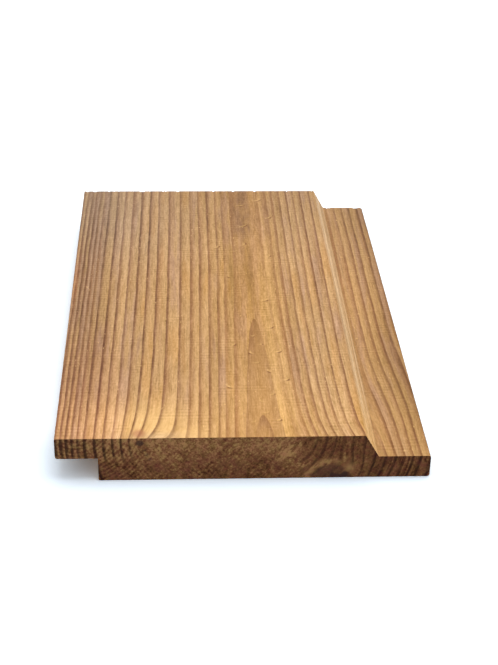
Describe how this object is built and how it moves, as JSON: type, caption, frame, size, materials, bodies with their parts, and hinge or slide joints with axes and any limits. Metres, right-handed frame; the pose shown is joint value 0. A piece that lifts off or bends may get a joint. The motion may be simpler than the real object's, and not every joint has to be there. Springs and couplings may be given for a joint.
{
  "type": "shiplap cladding board",
  "caption": "Short length of shiplap cladding board in heat-treated softwood, with a rebated upper lap, a bevelled face edge and a lower lap.",
  "frame": {"origin": "on the flat back, in the middle of the board's length and overall width", "axes": "+Z out of the show face, +Y along the grain, +X towards the lower lap"},
  "size_m": [0.142, 0.22, 0.019],
  "materials": {
    "heat_treated_wood": "planed, bare, heat-treated"
  },
  "bodies": {
    "root": {"cladding_board": "heat_treated_wood"}
  },
  "joints": []
}
